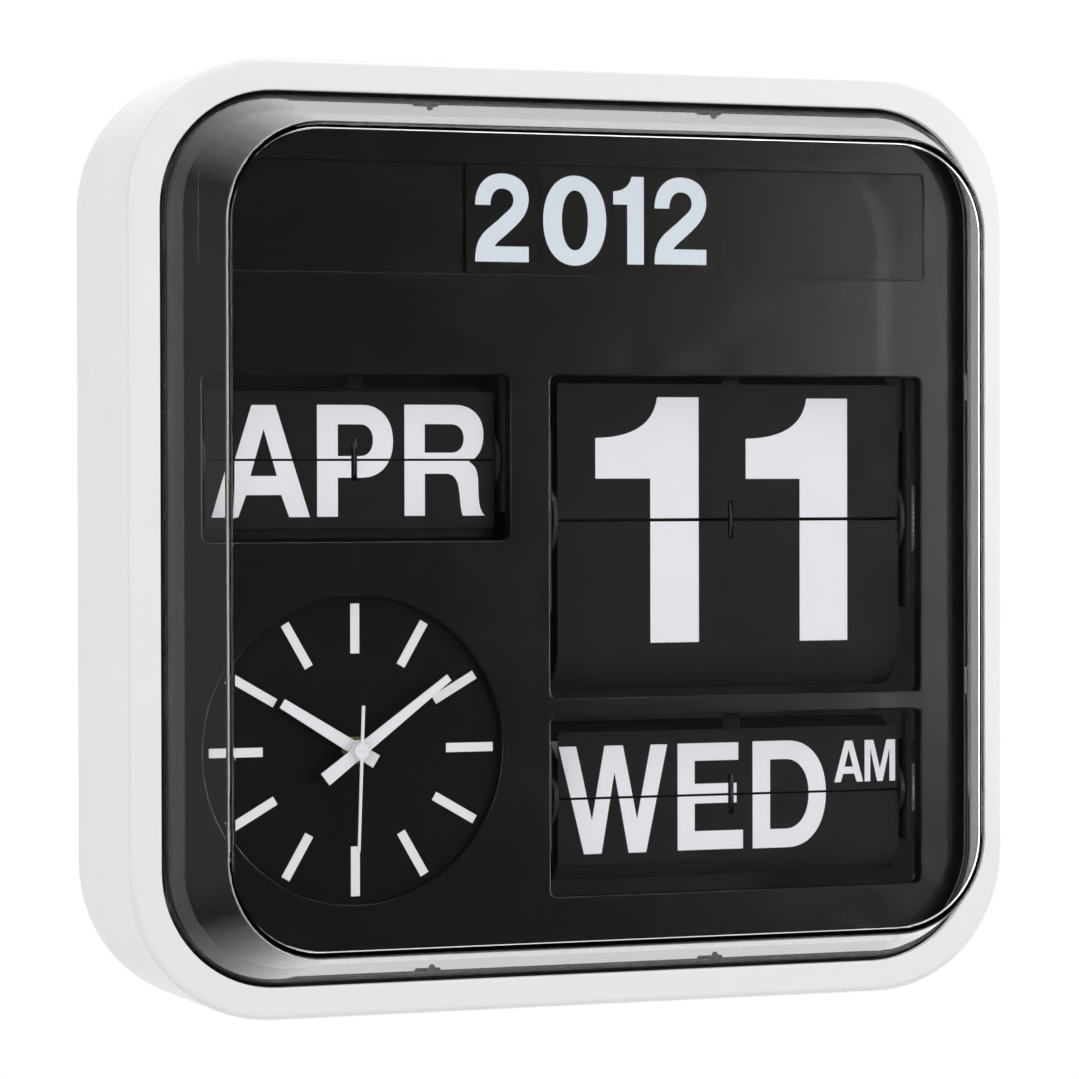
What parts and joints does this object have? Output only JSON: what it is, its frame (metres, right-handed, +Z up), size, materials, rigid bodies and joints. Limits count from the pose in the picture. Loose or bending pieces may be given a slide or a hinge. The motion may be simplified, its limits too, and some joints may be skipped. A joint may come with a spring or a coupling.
{
  "type": "flip calendar wall clock",
  "caption": "Square wall clock with rounded corners, split-flap month, date and weekday displays, an analogue dial, sliding year tiles and a clear raised front lens.",
  "frame": {"origin": "centre of the flat back, in the wall plane", "axes": "+X to the viewer's right, +Y into the wall, +Z up; the clock faces -Y"},
  "size_m": [0.4296, 0.133, 0.43],
  "materials": {
    "case_white": "satin moulded white",
    "lens_clear": "clear polished acrylic",
    "face_black": "polished black moulding",
    "frame_black": "fine grained black moulding",
    "flap_black": "matt black sheet with white print",
    "tile_black": "satin black tile with white print",
    "dial_black": "matt black paint",
    "mark_white": "matt white paint",
    "hand_white": "satin white paint",
    "gear_white": "natural acetal",
    "steel": "zinc plated",
    "spring_black": "blackened spring steel",
    "motor_can": "drawn can",
    "brass": "turned",
    "cover_grey": "fine grained dark grey moulding",
    "control_grey": "satin grey",
    "knob_black": "satin black",
    "board_green": "solder mask",
    "coil_copper": "enamelled copper wire",
    "cell_foil": "plain foil sleeve"
  },
  "bodies": {
    "case": {"case_shell": "case_white", "front_lens": "lens_clear", "face_plate": "face_black", "dial_plate": "dial_black", "hour_markers": "mark_white", "year_end_plates": "tile_black", "movement_case": "frame_black", "movement_cover": "frame_black", "movement_nut": "brass", "movement_board": "board_green", "movement_coil": "coil_copper", "aa_cell": "cell_foil", "battery_tray": "cover_grey", "d_cells": "cell_foil", "battery_contacts": "steel", "rear_cover": "cover_grey", "hanger_plate": "steel", "control_board": "board_green", "button_switches": "knob_black", "flap_stops": "spring_black", "flip_motors": "motor_can", "cover_screws": "steel", "face_screws": "steel", "frame_screws": "steel", "small_screws": "steel", "month_frame": "frame_black", "date_frame": "frame_black", "weekday_frame": "frame_black"},
    "battery_door": {"battery_door": "cover_grey"},
    "time_knob": {"motion_wheel": "gear_white", "time_knob": "knob_black"},
    "hour_hand": {"hour_wheel": "gear_white", "hour_hand": "hand_white"},
    "minute_hand": {"minute_wheel": "gear_white", "minute_hand": "hand_white"},
    "second_hand": {"second_wheel": "gear_white", "second_hand": "hand_white"},
    "year_tiles": {"year_tile_1": "tile_black", "year_tile_2": "tile_black", "year_tile_3": "tile_black", "year_tile_4": "tile_black"},
    "month_drum": {"month_drum": "frame_black", "month_drive_gear": "gear_white", "month_flaps": "flap_black"},
    "month_flap": {"month_front_flap": "flap_black"},
    "month_pinion": {"month_pinion": "steel"},
    "month_button": {"month_button": "control_grey"},
    "date_drum": {"date_drum": "frame_black", "date_drive_gear": "gear_white", "date_flaps": "flap_black"},
    "date_flap": {"date_front_flap": "flap_black"},
    "date_pinion": {"date_pinion": "steel"},
    "date_button": {"date_button": "control_grey"},
    "weekday_drum": {"weekday_drum": "frame_black", "weekday_drive_gear": "gear_white", "weekday_flaps": "flap_black"},
    "weekday_flap": {"weekday_front_flap": "flap_black"},
    "weekday_pinion": {"weekday_pinion": "steel"},
    "weekday_button": {"weekday_button": "control_grey"}
  },
  "joints": [
    {"name": "month_drum_step", "type": "hinge", "parent": "case", "child": "month_drum", "pos_m": [-0.10385, -0.05734, 0.03556], "axis": [1, 0, 0], "range_deg": [0, 30]},
    {"name": "month_flap_fall", "type": "hinge", "parent": "month_drum", "child": "month_flap", "pos_m": [-0.10385, -0.067, 0.03815], "axis": [1, 0, 0], "range_deg": [0, 150.05]},
    {"name": "month_pinion_turn", "type": "hinge", "parent": "case", "child": "month_pinion", "pos_m": [-0.17845, -0.04054, 0.03556], "axis": [1, 0, 0], "range_deg": [-60.1, 0]},
    {"name": "date_drum_step", "type": "hinge", "parent": "case", "child": "date_drum", "pos_m": [0.08185, -0.04909, 0.00752], "axis": [1, 0, 0], "range_deg": [0, 11.61]},
    {"name": "date_flap_fall", "type": "hinge", "parent": "date_drum", "child": "date_flap", "pos_m": [0.08185, -0.067, 0.00935], "axis": [1, 0, 0], "range_deg": [0, 168.44]},
    {"name": "date_pinion_turn", "type": "hinge", "parent": "case", "child": "date_pinion", "pos_m": [0.17575, -0.02389, 0.00752], "axis": [1, 0, 0], "range_deg": [-34.94, 0]},
    {"name": "weekday_drum_step", "type": "hinge", "parent": "case", "child": "weekday_drum", "pos_m": [0.08185, -0.05725, -0.12142], "axis": [1, 0, 0], "range_deg": [0, 25.71]},
    {"name": "weekday_flap_fall", "type": "hinge", "parent": "weekday_drum", "child": "weekday_flap", "pos_m": [0.08185, -0.067, -0.1192], "axis": [1, 0, 0], "range_deg": [0, 154.34]},
    {"name": "weekday_pinion_turn", "type": "hinge", "parent": "case", "child": "weekday_pinion", "pos_m": [0.17575, -0.04045, -0.12142], "axis": [1, 0, 0], "range_deg": [-51.53, 0]},
    {"name": "minute_hand_turn", "type": "hinge", "parent": "case", "child": "minute_hand", "pos_m": [-0.10595, -0.08, -0.09575], "axis": [0, 1, 0], "continuous": true},
    {"name": "hour_hand_turn", "type": "hinge", "parent": "case", "child": "hour_hand", "pos_m": [-0.10595, -0.08, -0.09575], "axis": [0, 1, 0], "continuous": true},
    {"name": "time_knob_turn", "type": "hinge", "parent": "case", "child": "time_knob", "pos_m": [-0.10595, -0.05, -0.08475], "axis": [0, 1, 0], "continuous": true},
    {"name": "second_hand_turn", "type": "hinge", "parent": "case", "child": "second_hand", "pos_m": [-0.10595, -0.08, -0.09575], "axis": [0, 1, 0], "continuous": true},
    {"name": "battery_door_swing", "type": "hinge", "parent": "case", "child": "battery_door", "pos_m": [-0.10595, -0.0015, -0.04994], "axis": [-1, 0, 0], "range_deg": [0, 100]},
    {"name": "year_tiles_slide", "type": "slide", "parent": "case", "child": "year_tiles", "axis": [1, 0, 0], "range_m": [-0.0188, 0]},
    {"name": "month_button_press", "type": "slide", "parent": "case", "child": "month_button", "axis": [0, -1, 0], "range_m": [0, 0.002], "stiffness_N_per_m": 300, "springref_m": -0.001},
    {"name": "date_button_press", "type": "slide", "parent": "case", "child": "date_button", "axis": [0, -1, 0], "range_m": [0, 0.002], "stiffness_N_per_m": 300, "springref_m": -0.001},
    {"name": "weekday_button_press", "type": "slide", "parent": "case", "child": "weekday_button", "axis": [0, -1, 0], "range_m": [0, 0.002], "stiffness_N_per_m": 300, "springref_m": -0.001}
  ],
  "couplings": [
    {"joint": "month_flap_fall", "follows": "month_drum_step", "ratio": 5},
    {"joint": "month_pinion_turn", "follows": "month_drum_step", "ratio": -2},
    {"joint": "date_flap_fall", "follows": "date_drum_step", "ratio": 14.5},
    {"joint": "date_pinion_turn", "follows": "date_drum_step", "ratio": -3},
    {"joint": "weekday_flap_fall", "follows": "weekday_drum_step", "ratio": 6},
    {"joint": "weekday_pinion_turn", "follows": "weekday_drum_step", "ratio": -2},
    {"joint": "hour_hand_turn", "follows": "minute_hand_turn", "ratio": 0.083333},
    {"joint": "time_knob_turn", "follows": "minute_hand_turn", "ratio": -0.33333},
    {"joint": "second_hand_turn", "follows": "minute_hand_turn", "ratio": 60}
  ]
}
